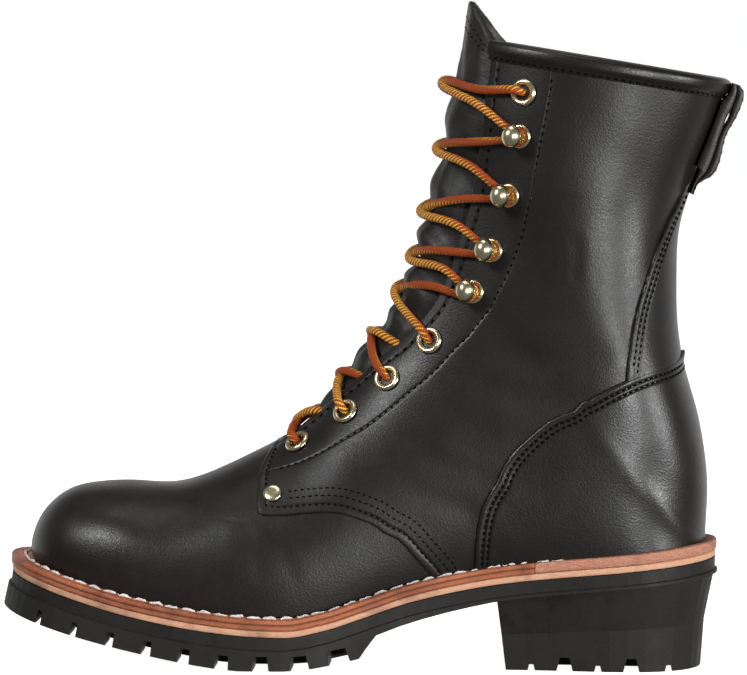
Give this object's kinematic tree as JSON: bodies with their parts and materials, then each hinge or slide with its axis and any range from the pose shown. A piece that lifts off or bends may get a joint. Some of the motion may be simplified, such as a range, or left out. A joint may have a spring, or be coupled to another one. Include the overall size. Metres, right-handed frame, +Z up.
{
  "type": "boot",
  "caption": "Tall lace-up leather work boot with a hollow shaft, a lugged sole on a stitched welt and a raised heel with a slanted breast.",
  "frame": {"origin": "on the floor, under the middle of the boot's bounding box", "axes": "-X towards the toe, +X towards the heel, -Y towards the outer side, +Y towards the inner side, +Z up"},
  "size_m": [0.3159, 0.1163, 0.2815],
  "materials": {
    "black_leather": "smooth, satin",
    "tongue_leather": "soft, creased",
    "overlay_leather": "smooth, satin",
    "insole_board": "matte",
    "midsole_leather": "cut edge, matte",
    "welt_leather": "cut edge, matte",
    "black_rubber": "matte",
    "brass": "polished",
    "lace_cord": "round braid"
  },
  "bodies": {
    "root": {"upper": "black_leather", "tongue": "tongue_leather", "counter": "overlay_leather", "backstay": "overlay_leather", "collar_binding": "overlay_leather", "pull_loop": "overlay_leather", "insole": "insole_board", "midsole": "midsole_leather", "welt": "welt_leather", "heel_rand": "midsole_leather", "outsole": "black_rubber", "heel": "black_rubber", "eyelet_outer_1": "brass", "eyelet_outer_2": "brass", "eyelet_outer_3": "brass", "eyelet_outer_4": "brass", "eyelet_outer_5": "brass", "eyelet_inner_1": "brass", "eyelet_inner_2": "brass", "eyelet_inner_3": "brass", "eyelet_inner_4": "brass", "eyelet_inner_5": "brass", "hook_outer_1": "brass", "hook_outer_2": "brass", "hook_outer_3": "brass", "hook_outer_4": "brass", "hook_inner_1": "brass", "hook_inner_2": "brass", "hook_inner_3": "brass", "hook_inner_4": "brass", "rivet_outer": "brass", "rivet_inner": "brass", "lace_crossing_1": "lace_cord", "lace_crossing_2": "lace_cord", "lace_crossing_3": "lace_cord", "lace_crossing_4": "lace_cord", "lace_crossing_5": "lace_cord", "lace_bar_1": "lace_cord", "lace_bar_2": "lace_cord", "lace_bar_3": "lace_cord"}
  },
  "joints": []
}
